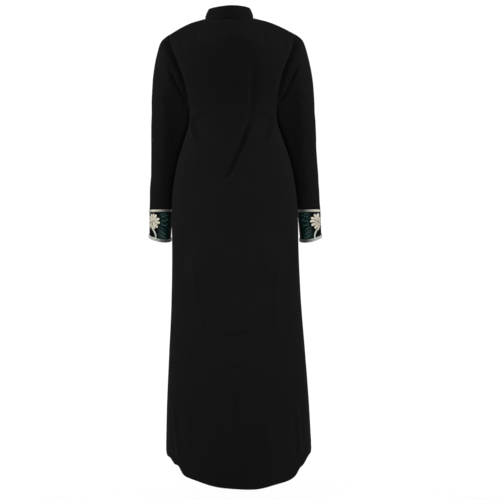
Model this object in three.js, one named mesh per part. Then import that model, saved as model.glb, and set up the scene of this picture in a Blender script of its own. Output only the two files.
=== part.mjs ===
// A long black abaya, worn and hollow: back, two lapped fronts, set-in sleeves, stand collar and
// banded cuffs with piping. Millimetres, +Z up. The wearer faces -Y, so the wearer's left is +X.
// The origin is midway between the two neck points, where the shoulders carry the garment.
import * as THREE from 'three';

// ---- driving dimensions -------------------------------------------------------------------------
const clothWall = 2.0; // crepe with its seam allowances
const seamGap = 0.3; // between sewn pieces
const trimGap = 0.3; // between a band and the piping on it
const lap = 14; // each front passes the centre by this much
const lapClearance = 1.2; // between the two fronts where they lap
const lapColumns = 2; // columns of the under front that lie fully under
const lapRampColumns = 2; // and those over which it comes back to the surface
const collarBackHeight = 40;
const collarSideHeight = 27;
const collarFrontHeight = 33;
const collarTaperX = 0.88; // top ring against base ring
const collarTaperY = 0.9;
const collarOpening = 1.2; // between the collar's two ends
const collarCorner = 14; // length over which an end rounds off
const collarRounding = 0.3; // share of the height that the rounding takes away at an end
const collarBow = 1.5; // the stand rolls out this much between its edges
const collarTopCurve = 1; // how quickly the top edge falls away from its middles
const neckSway = 7; // the neck sits this much towards the wearer's left
const neckSwayFrom = -47; // from no sway here to all of it at the neck points
const pipingTopHeight = 6.5;
const pipingHemHeight = 10;
const pipingThickness = 2.2;

const columnsPerHalf = 9; // across half of a back, or one front
const sideSteps = 16; // rows from hem to underarm
const armholeSteps = 10; // rows from underarm to shoulder tip
const shoulderSteps = 4; // rows from shoulder tip to neck
const sleeveSteps = 15; // rings from armhole to cuff
const cuffSteps = 3;
const collarSteps = 3;

// ---- tables of sections -------------------------------------------------------------------------
// From hem to underarm. z, halfWidth and sideY are at the side seam, depths are from the garment's
// middle, and drops say how much lower the centre of that section lies.
const skirtTable = [
  { z: -1287, halfWidth: 218, sideY: 0, backDepth: 172, backDrop: 90, frontDepth: 165, frontDrop: 14 },
  { z: -1150, halfWidth: 213, sideY: 0, backDepth: 167, backDrop: 76, frontDepth: 159, frontDrop: 10 },
  { z: -1000, halfWidth: 204, sideY: 1, backDepth: 158, backDrop: 58, frontDepth: 151, frontDrop: 6 },
  { z: -850, halfWidth: 194.5, sideY: 3, backDepth: 147, backDrop: 40, frontDepth: 142, frontDrop: 3 },
  { z: -700, halfWidth: 189.5, sideY: 6, backDepth: 136, backDrop: 24, frontDepth: 133, frontDrop: 0 },
  { z: -600, halfWidth: 189, sideY: 9, backDepth: 128, backDrop: 14, frontDepth: 129, frontDrop: 0 },
  { z: -513, halfWidth: 184.5, sideY: 12, backDepth: 117, backDrop: 8, frontDepth: 127, frontDrop: 0 },
  { z: -430, halfWidth: 169, sideY: 15, backDepth: 103, backDrop: 5, frontDepth: 126, frontDrop: 0 },
  { z: -360, halfWidth: 147, sideY: 17, backDepth: 93, backDrop: 4, frontDepth: 127, frontDrop: 0 },
  { z: -312, halfWidth: 132, sideY: 17, backDepth: 89, backDrop: 4, frontDepth: 130, frontDrop: 0 },
  { z: -274, halfWidth: 131, sideY: 16, backDepth: 88, backDrop: 5, frontDepth: 132, frontDrop: 4 },
];

// From underarm to shoulder tip: the armhole edge, the centre line, the row's spread in degrees (90
// is half an ellipse, less is a shallower arc) and how far the row hollows between edge and centre.
const backYokeTable = [
  { x: 131, y: 16, z: -274, midY: 88, midZ: -279, spread: 90, hollow: 0 },
  { x: 132, y: 33, z: -262, midY: 88.5, midZ: -264, spread: 77, hollow: 0 },
  { x: 140, y: 48, z: -225, midY: 90, midZ: -230, spread: 63, hollow: 1 },
  { x: 154, y: 53, z: -176, midY: 92, midZ: -184, spread: 58, hollow: 3 },
  { x: 169, y: 45, z: -131, midY: 91, midZ: -142, spread: 57, hollow: 8 },
  { x: 181, y: 28, z: -89, midY: 88, midZ: -101, spread: 57, hollow: 15 },
  { x: 190, y: 0, z: -48, midY: 82, midZ: -65, spread: 57, hollow: 24 },
];
const frontYokeTable = [
  { x: 131, y: 16, z: -274, midY: -132, midZ: -278, spread: 90, hollow: 0 },
  { x: 131, y: -15, z: -264, midY: -131.5, midZ: -266, spread: 78, hollow: 0 },
  { x: 137, y: -50, z: -228, midY: -127, midZ: -236, spread: 65, hollow: 0 },
  { x: 149, y: -61, z: -178, midY: -118, midZ: -197, spread: 57, hollow: 1 },
  { x: 164, y: -55, z: -130, midY: -105, midZ: -161, spread: 56, hollow: 4 },
  { x: 178, y: -35, z: -88, midY: -92, midZ: -130, spread: 56, hollow: 9 },
  { x: 190, y: 0, z: -48, midY: -82, midZ: -105, spread: 56, hollow: 16 },
];

// From shoulder tip to neck point, the same columns.
const backShoulderTable = [
  { x: 190, y: 0, z: -48, midY: 82, midZ: -65, spread: 57, hollow: 24 },
  { x: 150, y: 0, z: -24, midY: 76, midZ: -42, spread: 56, hollow: 24 },
  { x: 111, y: 0, z: -7, midY: 68, midZ: -25, spread: 66, hollow: 14 },
  { x: 73, y: 0, z: 0, midY: 58, midZ: -10, spread: 90, hollow: 0 },
];
const frontShoulderTable = [
  { x: 190, y: 0, z: -48, midY: -82, midZ: -105, spread: 56, hollow: 16 },
  { x: 150, y: 0, z: -24, midY: -75, midZ: -90, spread: 55, hollow: 14 },
  { x: 111, y: 0, z: -7, midY: -68, midZ: -76, spread: 66, hollow: 8 },
  { x: 73, y: 0, z: 0, midY: -60, midZ: -62, spread: 90, hollow: 0 },
];

// Sections of a sleeve below its armhole: the outermost and innermost points, the arm's middle in
// depth and half the depth of the section.
const sleeveTable = [
  { outerX: 212, outerZ: -65, innerX: 133, innerZ: -280, midY: 3, halfDepth: 57 },
  { outerX: 227, outerZ: -104, innerX: 131.6, innerZ: -289, midY: -3, halfDepth: 57 },
  { outerX: 240, outerZ: -170, innerX: 131.2, innerZ: -305, midY: -15, halfDepth: 56 },
  { outerX: 246, outerZ: -238, innerX: 133, innerZ: -330, midY: -30, halfDepth: 54 },
  { outerX: 249, outerZ: -310, innerX: 139, innerZ: -364, midY: -42, halfDepth: 51 },
  { outerX: 251, outerZ: -380, innerX: 152, innerZ: -406, midY: -50, halfDepth: 49 },
  { outerX: 254, outerZ: -450, innerX: 165, innerZ: -458, midY: -56, halfDepth: 47 },
  { outerX: 258, outerZ: -510, innerX: 183, innerZ: -510, midY: -60, halfDepth: 45 },
  { outerX: 259, outerZ: -540, innerX: 185, innerZ: -540, midY: -61, halfDepth: 44.5 },
  { outerX: 260.5, outerZ: -567, innerX: 190, innerZ: -567, midY: -61, halfDepth: 44 },
];
const cuffTable = [
  { outerX: 260.5, outerZ: -567.3, innerX: 190, innerZ: -567.3, midY: -61, halfDepth: 44, backDrop: 0 },
  { outerX: 262, outerZ: -649, innerX: 197, innerZ: -662, midY: -61, halfDepth: 43, backDrop: 9 },
];

// The largest folds: soft troughs (negative) and ridges that run down a panel, each from its top to
// its bottom, fading in and out at the ends.
const backFolds = [
  { topX: 118, topZ: -730, bottomX: 98, bottomZ: -1080, width: 34, depth: -5 },
  { topX: -122, topZ: -730, bottomX: -108, bottomZ: -1150, width: 34, depth: -5 },
  { topX: -30, topZ: -150, bottomX: 34, bottomZ: -500, width: 30, depth: -5 },
  { topX: 6, topZ: -1040, bottomX: 4, bottomZ: -1300, width: 44, depth: -5 },
  { topX: 168, topZ: -1080, bottomX: 176, bottomZ: -1420, width: 34, depth: -9 },
  { topX: -166, topZ: -1060, bottomX: -174, bottomZ: -1420, width: 34, depth: -9 },
];
const frontFolds = [
  { topX: 110, topZ: -330, bottomX: 140, bottomZ: -1320, width: 44, depth: -7 },
  { topX: -112, topZ: -350, bottomX: -134, bottomZ: -1320, width: 44, depth: -7 },
  { topX: 84, topZ: -760, bottomX: 92, bottomZ: -1400, width: 36, depth: 6 },
  { topX: -78, topZ: -820, bottomX: -84, bottomZ: -1400, width: 36, depth: 6 },
];
const foldFade = 160; // a fold grows to its full depth over this length

// Where the back's hem rides up or dips, by its place between the side seams, -1 to 1.
const hemWaves = [
  { place: 0.75, spread: 0.12, lift: 20 },
  { place: 0.605, spread: 0.055, lift: 12 },
  { place: 0.38, spread: 0.14, lift: 4 },
  { place: -0.18, spread: 0.16, lift: -6 },
  { place: -0.5, spread: 0.16, lift: -10 },
  { place: -0.62, spread: 0.05, lift: 7 },
  { place: -0.78, spread: 0.12, lift: 15 },
];
const hemWaveReach = 180; // the waves die out this far up the skirt

const black = { color: 0x161617, roughness: 0.86, metalness: 0 };
const bandBlack = { color: 0x10181a, roughness: 0.8, metalness: 0 };
const cream = { color: 0xe3d9bf, roughness: 0.55, metalness: 0 };
const sage = { color: 0xb9c4b2, roughness: 0.5, metalness: 0 };

// ---- small tools --------------------------------------------------------------------------------
const quarterTurn = Math.PI / 2;
const vector = (x, y, z) => new THREE.Vector3(x, y, z);
const throughPoints = (points) => new THREE.CatmullRomCurve3(points, false, 'catmullrom', 0.5);
const smoothStep = (low, high, value) => THREE.MathUtils.smoothstep(value, low, high);

// The value of one column, smoothly between a table's rows; place runs from 0 to 1.
function readColumn(table, column, place) {
  const line = throughPoints(table.map((row, index) => vector(row[column], index, 0)));
  return line.getPoint(place).x;
}

function readRow(table, place) {
  const row = {};
  for (const column of Object.keys(table[0])) row[column] = readColumn(table, column, place);
  return row;
}

// Every row of a back (side = 1) or of a front (side = -1), from hem to neck.
function panelRows(side) {
  const rows = [];
  for (let step = 0; step < sideSteps; step += 1) {
    const row = readRow(skirtTable, step / sideSteps);
    const depth = side > 0 ? row.backDepth : row.frontDepth;
    const drop = side > 0 ? row.backDrop : row.frontDrop;
    const seam = { x: row.halfWidth, y: row.sideY, z: row.z };
    const hem = side > 0 ? 1 - smoothStep(0, hemWaveReach, row.z - skirtTable[0].z) : 0;
    rows.push({ ...seam, midY: side * depth, midZ: row.z - drop, spread: 90, hollow: 0, hem });
  }
  const yoke = side > 0 ? backYokeTable : frontYokeTable;
  const shoulder = side > 0 ? backShoulderTable : frontShoulderTable;
  for (let step = 0; step < armholeSteps; step += 1) rows.push(readRow(yoke, step / armholeSteps));
  for (let step = 0; step <= shoulderSteps; step += 1) rows.push(readRow(shoulder, step / shoulderSteps));
  return rows;
}

// How much the hem is lifted at a place of its row; nothing at the side seams.
function hemLift(place) {
  let lift = 0;
  for (const wave of hemWaves) lift += wave.lift * Math.exp(-(((place - wave.place) / wave.spread) ** 2));
  return lift * (1 - place ** 8);
}

// A point of a row; place runs from -1 at one edge, through 0 at the centre, to 1.
function rowPoint(row, place) {
  const spread = THREE.MathUtils.degToRad(row.spread);
  const toCentre = (Math.cos(place * spread) - Math.cos(spread)) / (1 - Math.cos(spread));
  const x = (row.x * Math.sin(place * spread)) / Math.sin(spread);
  const y = THREE.MathUtils.lerp(row.y, row.midY, toCentre);
  let z = THREE.MathUtils.lerp(row.z, row.midZ, toCentre);
  z -= row.hollow * Math.sin(Math.PI * Math.abs(place));
  z += (row.hem ?? 0) * hemLift(place);
  return vector(x + neckSway * smoothStep(neckSwayFrom, 0, z), y, z);
}

// The place of a row at which it stands off the centre by a distance.
function placeAt(row, distance) {
  const spread = THREE.MathUtils.degToRad(row.spread);
  return Math.asin((distance * Math.sin(spread)) / row.x) / spread;
}

// How far the largest folds push a point of a panel out of its plain form.
function foldHeight(point, folds) {
  let height = 0;
  for (const fold of folds) {
    const along = (fold.topZ - point.z) / (fold.topZ - fold.bottomZ);
    const line = fold.topX + (fold.bottomX - fold.topX) * along;
    const across = (point.x - line) / fold.width;
    const start = smoothStep(0, foldFade, fold.topZ - point.z);
    const end = smoothStep(0, foldFade, point.z - fold.bottomZ);
    height += fold.depth * start * end * Math.exp(-across * across);
  }
  return height;
}

// Outward normals of a grid of points; outward gives the side that is outside.
function gridNormals(grid, outward) {
  return grid.map((line, r) => line.map((point, c) => {
    const up = grid[Math.min(r + 1, grid.length - 1)][c].clone().sub(grid[Math.max(r - 1, 0)][c]);
    const across = line[Math.min(c + 1, line.length - 1)].clone().sub(line[Math.max(c - 1, 0)]);
    const normal = across.cross(up).normalize();
    return normal.dot(outward(point)) < 0 ? normal.negate() : normal;
  }));
}

// ---- closed solids from two grids of points -----------------------------------------------------
function solidBetween(outer, inner, closedRound) {
  const rows = outer.length;
  const columns = outer[0].length;
  const positions = [];
  for (const grid of [outer, inner]) {
    for (const line of grid) for (const point of line) positions.push(point.x, point.y, point.z);
  }
  const outerAt = (r, c) => r * columns + (c % columns);
  const innerAt = (r, c) => rows * columns + outerAt(r, c);
  const faces = [];
  const quad = (a, b, c, d) => faces.push(a, b, c, a, c, d);
  const lastColumn = closedRound ? columns : columns - 1;
  for (let r = 0; r < rows - 1; r += 1) {
    for (let c = 0; c < lastColumn; c += 1) {
      quad(outerAt(r, c), outerAt(r, c + 1), outerAt(r + 1, c + 1), outerAt(r + 1, c));
      quad(innerAt(r, c), innerAt(r + 1, c), innerAt(r + 1, c + 1), innerAt(r, c + 1));
    }
  }
  for (let c = 0; c < lastColumn; c += 1) {
    quad(outerAt(0, c), innerAt(0, c), innerAt(0, c + 1), outerAt(0, c + 1));
    quad(outerAt(rows - 1, c), outerAt(rows - 1, c + 1), innerAt(rows - 1, c + 1), innerAt(rows - 1, c));
  }
  if (!closedRound) {
    for (let r = 0; r < rows - 1; r += 1) {
      quad(outerAt(r, 0), outerAt(r + 1, 0), innerAt(r + 1, 0), innerAt(r, 0));
      const e = columns - 1;
      quad(outerAt(r, e), innerAt(r, e), innerAt(r + 1, e), outerAt(r + 1, e));
    }
  }
  const geometry = new THREE.BufferGeometry();
  geometry.setAttribute('position', new THREE.Float32BufferAttribute(positions, 3));
  geometry.setIndex(signedVolume(positions, faces) < 0 ? faces.reverse() : faces);
  geometry.computeVertexNormals();
  return geometry;
}

function signedVolume(positions, faces) {
  const corner = (index) => new THREE.Vector3().fromArray(positions, 3 * index);
  let sum = 0;
  for (let f = 0; f < faces.length; f += 3) {
    sum += corner(faces[f]).dot(corner(faces[f + 1]).cross(corner(faces[f + 2])));
  }
  return sum / 6;
}

function namedMesh(name, geometry, finish) {
  const mesh = new THREE.Mesh(geometry, new THREE.MeshStandardMaterial(finish));
  mesh.name = name;
  return mesh;
}

const backRows = panelRows(1);
const frontRows = panelRows(-1);
const roundCount = 2 * armholeSteps; // points round a sleeve, one for each armhole row

// ---- seams: each has one direction into the garment, shared by the pieces that meet there --------
const armholeMiddle = vector(112, 4, -165); // the armhole seam folds in towards this point
const neckMiddle = vector(0, -2, -50); // and the neck seam towards this one

function seamInward(kind, point) {
  const flip = Math.sign(point.x) || 1;
  if (kind === 'side') return vector(-flip, 0, 0);
  if (kind === 'shoulder') return vector(0, 0, -1);
  if (kind === 'armhole') {
    const middle = vector(flip * armholeMiddle.x, armholeMiddle.y, armholeMiddle.z);
    return middle.sub(point).normalize();
  }
  return neckMiddle.clone().sub(point).normalize(); // neck
}

// The step that draws a piece back from a seam: square to the seam, towards a point inside the piece.
function drawBack(point, seam) {
  const { kind, tangent, inside } = seam;
  const square = tangent.clone().cross(seamInward(kind, point)).setLength(seamGap / 2);
  return inside.clone().sub(point).dot(square) < 0 ? square.negate() : square;
}

const underarmRow = sideSteps;
const shoulderTipRow = sideSteps + armholeSteps;
const neckRow = shoulderTipRow + shoulderSteps;

// The armhole edge, from the shoulder tip down the back, under the arm and up the front.
function armholeEdge(side) {
  const edge = [];
  for (let k = 0; k < roundCount; k += 1) {
    const below = k - armholeSteps;
    const row = below <= 0 ? backRows[underarmRow - below] : frontRows[underarmRow + below];
    edge.push(vector(side * row.x, row.y, row.z));
  }
  return edge;
}

function loopTangent(loop, k) {
  return loop[(k + 1) % loop.length].clone().sub(loop[(k + loop.length - 1) % loop.length]);
}

// The seams that pass through a point on a panel's edge, the leading one first, each with the
// direction it runs in. front is -1 for a back and 1 for a front.
function seamsAt(grid, r, c, onEdge, front) {
  const point = grid[r][c];
  const lastColumn = grid[r].length - 1;
  const seams = [];
  if (r === neckRow) {
    const tangent = grid[r][Math.min(c + 1, lastColumn)].clone().sub(grid[r][Math.max(c - 1, 0)]);
    seams.push({ kind: 'neck', tangent, inside: grid[r - 1][c] });
  }
  if (!onEdge) return seams;
  const inside = grid[r][c === 0 ? 2 : c - 2];
  if (r >= underarmRow && r <= shoulderTipRow) {
    const loop = armholeEdge(Math.sign(point.x));
    const k = (armholeSteps + front * (r - underarmRow)) % roundCount;
    seams.push({ kind: 'armhole', tangent: loopTangent(loop, k), inside });
  }
  if (r >= shoulderTipRow) {
    seams.push({ kind: 'shoulder', tangent: shoulderLine(Math.sign(point.x)), inside });
  }
  if (r <= underarmRow) {
    const tangent = grid[Math.min(r + 1, underarmRow)][c].clone().sub(grid[Math.max(r - 1, 0)][c]);
    seams.push({ kind: 'side', tangent, inside });
  }
  return seams;
}

function shoulderLine(side) {
  const tip = backShoulderTable[0];
  const neck = backShoulderTable[backShoulderTable.length - 1];
  return vector(side * (neck.x - tip.x), neck.y - tip.y, neck.z - tip.z);
}

// Turns a grid of a panel into its wall. isEdge says which columns are sewn edges, and tuckAt how
// far a column lies under the surface.
function panelWall(grid, front, folds, isEdge, tuckAt) {
  const outward = (point) => vector(point.x * 0.4, point.y, 0.2 * Math.abs(point.y));
  const normals = gridNormals(grid, outward);
  const outer = [];
  const inner = [];
  grid.forEach((line, r) => {
    outer.push([]);
    inner.push([]);
    line.forEach((point, c) => {
      const seams = seamsAt(grid, r, c, isEdge(c), front);
      const inward = seams.length ? seamInward(seams[0].kind, point) : normals[r][c].clone().negate();
      const height = seams.length ? 0 : foldHeight(point, folds);
      const moved = point.clone().addScaledVector(inward, tuckAt(c) - height);
      for (const seam of seams) moved.add(drawBack(point, seam));
      outer[r].push(moved);
      inner[r].push(moved.clone().addScaledVector(inward, clothWall));
    });
  });
  return solidBetween(outer, inner, false);
}

// ---- back and fronts ----------------------------------------------------------------------------

function makeBack() {
  const isEdge = (c) => c === 0 || c === 2 * columnsPerHalf;
  return panelWall(backRows.map(backLine), -1, backFolds, isEdge, () => 0);
}

// A row of a front, from its side edge to where it ends past the centre.
function frontLine(row, side) {
  const past = placeAt(row, lap);
  const line = [];
  for (let c = 0; c <= columnsPerHalf; c += 1) {
    line.push(rowPoint(row, side * (1 - (c / columnsPerHalf) * (1 + past))));
  }
  return line;
}

function backLine(row) {
  const line = [];
  for (let c = -columnsPerHalf; c <= columnsPerHalf; c += 1) line.push(rowPoint(row, c / columnsPerHalf));
  return line;
}

// side is 1 for the wearer's left, which lies under, and -1 for the wearer's right, which laps over.
function makeFront(side) {
  const grid = frontRows.map((row) => frontLine(row, side));
  const underFrom = columnsPerHalf - lapColumns;
  const tuckAt = (c) => {
    if (side < 0) return 0;
    return (clothWall + lapClearance) * smoothStep(underFrom - lapRampColumns, underFrom, c);
  };
  return panelWall(grid, 1, frontFolds, (c) => c === 0, tuckAt);
}

// ---- sleeves ------------------------------------------------------------------------------------
function sectionRing(section, side) {
  const ring = [];
  for (let k = 0; k < roundCount; k += 1) {
    const turn = (k / roundCount) * 2 * Math.PI;
    const out = (1 + Math.cos(turn)) / 2;
    const x = THREE.MathUtils.lerp(section.innerX, section.outerX, out);
    const z = THREE.MathUtils.lerp(section.innerZ, section.outerZ, out);
    const drop = (section.backDrop ?? 0) * Math.sin(turn);
    ring.push(vector(side * x, section.midY + section.halfDepth * Math.sin(turn), z - drop));
  }
  return ring;
}

// Rings along a tube that passes smoothly through the given ones.
function ringsThrough(rings, steps) {
  const lines = rings[0].map((point, k) => throughPoints(rings.map((ring) => ring[k])));
  const result = [];
  for (let step = 0; step <= steps; step += 1) {
    result.push(lines.map((line) => line.getPoint(step / steps)));
  }
  return result;
}

// Inward directions of a tube's points, square to its surface.
function tubeInward(rings) {
  return rings.map((ring, r) => {
    const middle = ring.reduce((sum, point) => sum.add(point), vector(0, 0, 0)).divideScalar(ring.length);
    return ring.map((point, k) => {
      const along = rings[Math.min(r + 1, rings.length - 1)][k].clone().sub(rings[Math.max(r - 1, 0)][k]);
      const inward = along.cross(loopTangent(ring, k)).normalize();
      return inward.dot(middle.clone().sub(point)) < 0 ? inward.negate() : inward;
    });
  });
}

// The rings of a tube's inside, one wall's thickness in.
function insideOf(outer, inward) {
  return outer.map((ring, r) => ring.map((point, k) => {
    return point.clone().addScaledVector(inward[r][k], clothWall);
  }));
}

function makeSleeve(side) {
  const sections = sleeveTable.map((section) => sectionRing(section, side));
  const rings = ringsThrough([armholeEdge(side), ...sections], sleeveSteps);
  const inward = tubeInward(rings);
  inward[0] = rings[0].map((point) => seamInward('armhole', point));
  const outer = rings.map((ring) => ring.map((point) => point.clone()));
  outer[0].forEach((point, k) => {
    const tangent = loopTangent(rings[0], k);
    point.add(drawBack(rings[0][k], { kind: 'armhole', tangent, inside: rings[2][k] }));
  });
  return solidBetween(outer, insideOf(outer, inward), true);
}

function cuffRings(side) {
  return ringsThrough(cuffTable.map((section) => sectionRing(section, side)), cuffSteps);
}

function makeCuff(side) {
  const outer = cuffRings(side);
  return solidBetween(outer, insideOf(outer, tubeInward(outer)), true);
}

// A band of piping on a cuff, made from the cuff's own points and moved out.
function makePiping(side, fromTop, height) {
  const rings = cuffRings(side);
  const inward = tubeInward(rings);
  const last = rings.length - 1;
  const lines = rings[0].map((point, k) => {
    const length = rings[last][k].distanceTo(point);
    const start = fromTop ? 0 : 1 - height / length;
    const end = fromTop ? height / length : 1;
    return [start, end].map((place) => point.clone().lerp(rings[last][k], place));
  });
  const wall = (distance) => [0, 1].map((e) =>
    lines.map((line, k) => line[e].clone().addScaledVector(inward[e * last][k], -distance)));
  return solidBetween(wall(trimGap + pipingThickness), wall(trimGap), true);
}

// ---- stand collar -------------------------------------------------------------------------------
// The neckline on one side of the front, from the shoulder to the collar's end.
function frontNeckline(side) {
  const line = frontLine(frontRows[neckRow], side);
  const before = line.filter((point) => side * point.x > collarOpening / 2);
  const from = before[before.length - 1];
  const to = line[before.length];
  const place = (side * from.x - collarOpening / 2) / (side * (from.x - to.x));
  return [...before.slice(1), from.clone().lerp(to, place)];
}

function makeCollar() {
  const base = [...frontNeckline(-1).reverse(), ...backLine(backRows[neckRow]), ...frontNeckline(1)];
  const crown = base.map((point) => {
    const round = Math.abs(Math.atan2(point.x, point.y)); // 0 at the back, half a turn at the ends
    const middleHeight = round < quarterTurn ? collarBackHeight : collarFrontHeight;
    const toMiddle = Math.abs(Math.cos(round)) ** collarTopCurve;
    const fullHeight = THREE.MathUtils.lerp(collarSideHeight, middleHeight, toMiddle);
    const toEnd = round > quarterTurn ? Math.abs(point.x) - collarOpening / 2 : collarCorner;
    const corner = THREE.MathUtils.clamp(toEnd / collarCorner, 0, 1);
    const height = fullHeight * (1 - collarRounding + collarRounding * Math.sqrt(corner * (2 - corner)));
    return vector(point.x * collarTaperX, point.y * collarTaperY, point.z + height);
  });
  const outer = [];
  const inner = [];
  for (let r = 0; r <= collarSteps; r += 1) {
    const place = r / collarSteps;
    const line = base.map((point, c) => {
      const out = vector(point.x, point.y, 0).setLength(collarBow * Math.sin(place * Math.PI));
      return point.clone().lerp(crown[c], place).add(out);
    });
    if (r === 0) {
      line.forEach((point, c) => {
        const tangent = base[Math.min(c + 1, base.length - 1)].clone().sub(base[Math.max(c - 1, 0)]);
        point.add(drawBack(base[c], { kind: 'neck', tangent, inside: crown[c] }));
      });
    }
    outer.push(line);
    inner.push(line.map((point, c) => {
      const level = vector(-point.x, -point.y, 0).normalize();
      const inward = r === 0 ? seamInward('neck', base[c]) : level;
      return point.clone().addScaledVector(inward, clothWall);
    }));
  }
  return solidBetween(outer, inner, false);
}

// ---- the garment --------------------------------------------------------------------------------
const abaya = new THREE.Group();
abaya.add(namedMesh('back', makeBack(), black));
abaya.add(namedMesh('front_left', makeFront(1), black));
abaya.add(namedMesh('front_right', makeFront(-1), black));
abaya.add(namedMesh('collar', makeCollar(), black));
for (const [hand, side] of [['left', 1], ['right', -1]]) {
  abaya.add(namedMesh(`sleeve_${hand}`, makeSleeve(side), black));
  abaya.add(namedMesh(`cuff_${hand}`, makeCuff(side), bandBlack));
  abaya.add(namedMesh(`trim_top_${hand}`, makePiping(side, true, pipingTopHeight), cream));
  abaya.add(namedMesh(`trim_hem_${hand}`, makePiping(side, false, pipingHemHeight), sage));
}

export default abaya;
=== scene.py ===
import math

import bpy
import numpy as np
from mathutils import Matrix, Vector


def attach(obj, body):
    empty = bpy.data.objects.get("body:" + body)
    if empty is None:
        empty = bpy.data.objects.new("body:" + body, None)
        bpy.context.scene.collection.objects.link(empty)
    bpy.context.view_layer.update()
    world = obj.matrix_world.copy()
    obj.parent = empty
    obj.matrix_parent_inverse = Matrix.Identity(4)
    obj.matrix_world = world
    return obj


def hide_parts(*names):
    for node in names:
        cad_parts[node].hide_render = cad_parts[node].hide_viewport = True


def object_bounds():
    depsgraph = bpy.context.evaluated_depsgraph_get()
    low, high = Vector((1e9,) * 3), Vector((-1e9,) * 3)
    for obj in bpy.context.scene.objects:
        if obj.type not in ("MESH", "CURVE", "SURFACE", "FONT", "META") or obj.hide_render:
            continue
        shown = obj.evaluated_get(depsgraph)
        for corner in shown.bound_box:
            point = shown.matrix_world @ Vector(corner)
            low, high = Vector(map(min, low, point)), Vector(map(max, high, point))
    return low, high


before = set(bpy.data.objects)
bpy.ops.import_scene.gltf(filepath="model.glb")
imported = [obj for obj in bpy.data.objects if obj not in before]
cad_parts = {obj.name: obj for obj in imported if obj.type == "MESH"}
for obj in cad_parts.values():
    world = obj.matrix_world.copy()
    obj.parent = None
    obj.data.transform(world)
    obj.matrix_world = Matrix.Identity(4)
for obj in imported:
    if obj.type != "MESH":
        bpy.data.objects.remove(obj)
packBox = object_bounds()
mm = 0.001
chance = np.random.default_rng(24)
print("frame loaded")

# The abaya is black crepe: a back, two lapped fronts, set-in sleeves, a stand collar and banded
# cuffs. +X is the wearer's left, the wearer faces -Y, and lengths are in millimetres until meshed.


# curves and grids
def throughRows(table, places):
    # smooth values between a table's rows, for places from 0 to 1
    rows = np.array(table, float)
    ends = np.concatenate([[2 * rows[0] - rows[1]], rows, [2 * rows[-1] - rows[-2]]])
    spot = np.clip(places, 0, 1) * (len(rows) - 1)
    start = np.minimum(spot.astype(int), len(rows) - 2)
    t = (spot - start).reshape(-1, *[1] * (rows.ndim - 1))
    a, b, c, d = (ends[start + k] for k in range(4))
    return b + 0.5 * t * (c - a + t * (2 * a - 5 * b + 4 * c - d + t * (3 * (b - c) + d - a)))


def smooth(low, high, value):
    t = np.clip((value - low) / (high - low), 0, 1)
    return t * t * (3 - 2 * t)


def unit(vectors):
    return vectors / np.maximum(np.linalg.norm(vectors, axis=-1, keepdims=True), 1e-9)


def lengthsAlong(points, axis):
    # running length of a grid's lines, from 0
    steps = np.linalg.norm(np.diff(points, axis=axis), axis=-1)
    return np.concatenate([np.zeros_like(np.take(steps, [0], axis)), np.cumsum(steps, axis)], axis)


def gridNormals(grid, closed, outward):
    # normals of a grid of points, on the side that outward points to
    along = np.gradient(grid, axis=0)
    if closed:
        around = np.roll(grid, -1, 1) - np.roll(grid, 1, 1)
    else:
        around = np.gradient(grid, axis=1)
    normals = unit(np.cross(around, along))
    flip = np.sign(np.sum(normals * outward, -1, keepdims=True))
    return normals * np.where(flip == 0, 1, flip)


def softNoise(u, v, size, seed):
    # smooth bumps of about one unit, the given size across
    dice = np.random.default_rng(seed)
    table = dice.normal(size=(64, 64))
    x, y = u / size, v / size
    i, j = np.floor(x).astype(int), np.floor(y).astype(int)
    s, t = smooth(0, 1, x - i), smooth(0, 1, y - j)
    corner = [[table[(i + a) % 64, (j + b) % 64] for b in (0, 1)] for a in (0, 1)]
    near = corner[0][0] * (1 - s) + corner[1][0] * s
    far = corner[0][1] * (1 - s) + corner[1][1] * s
    return near * (1 - t) + far * t


bankAt = 1.8  # widths from a crease's middle to the ridges beside it


def fold(width, depth, *path, ridge=0.35, lean=0, broad=1, fadeIn=0.3, fadeOut=0.3, lower=(0, 0, 0)):
    # a crease along a path of (x, z), which fades over these shares of its length at its start and
    # end; ridge is the height of its banks, lean favours one bank and broad widens that bank's side
    return dict(path=path, width=width, depth=depth, ridge=ridge, lean=lean, broad=broad,
                fades=(fadeIn, fadeOut), lower=lower)


def creaseHeight(points, normals, creases, facing):
    # the creases drawn on the side that faces +Y or -Y: troughs are negative, ridges positive
    flatPoints = points.reshape(-1, 3)
    turned = normals.reshape(-1, 3)[:, 1] * facing
    seen = smooth(0.0, 0.3, turned)
    height = np.zeros(len(flatPoints))
    for crease in creases:
        line = throughRows(crease["path"], np.linspace(0, 1, 21))
        start, step = line[:-1], np.diff(line, axis=0)
        spots = flatPoints[:, [0, 2]]
        beside = 5 * crease["width"]
        close = np.all((spots > line.min(0) - beside) & (spots < line.max(0) + beside), 1)
        near = np.flatnonzero((seen > 0) & close)
        offset = spots[near, None] - start
        part = np.clip(np.sum(offset * step, -1) / np.sum(step * step, -1), 0, 1)
        gap = offset - part[..., None] * step
        closest = np.argmin(np.sum(gap * gap, -1), 1)
        pick = np.arange(len(near))
        gap, part = gap[pick, closest], part[pick, closest]
        side = np.sign(gap[:, 0] * step[closest, 1] - gap[:, 1] * step[closest, 0])
        gap[:, 0] /= np.clip(turned[near], 0.4, 1)
        across = side * np.hypot(gap[:, 0], gap[:, 1]) / crease["width"]
        across = np.where(across > 0, across / crease["broad"], across)
        along = (closest + part) / len(step)
        fades = zip(crease["fades"], (along, 1 - along))
        ends = math.prod(smooth(0, fade, inside) for fade, inside in fades if fade)
        ridge, lean = crease["ridge"], crease["lean"]
        banks = (1 + lean) * np.exp(-(across - bankAt) ** 2) + (1 - lean) * np.exp(-(across + bankAt) ** 2)
        height[near] += crease["depth"] * ends * seen[near] * (ridge * banks - np.exp(-across ** 2))
    return height.reshape(points.shape[:-1])


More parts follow.
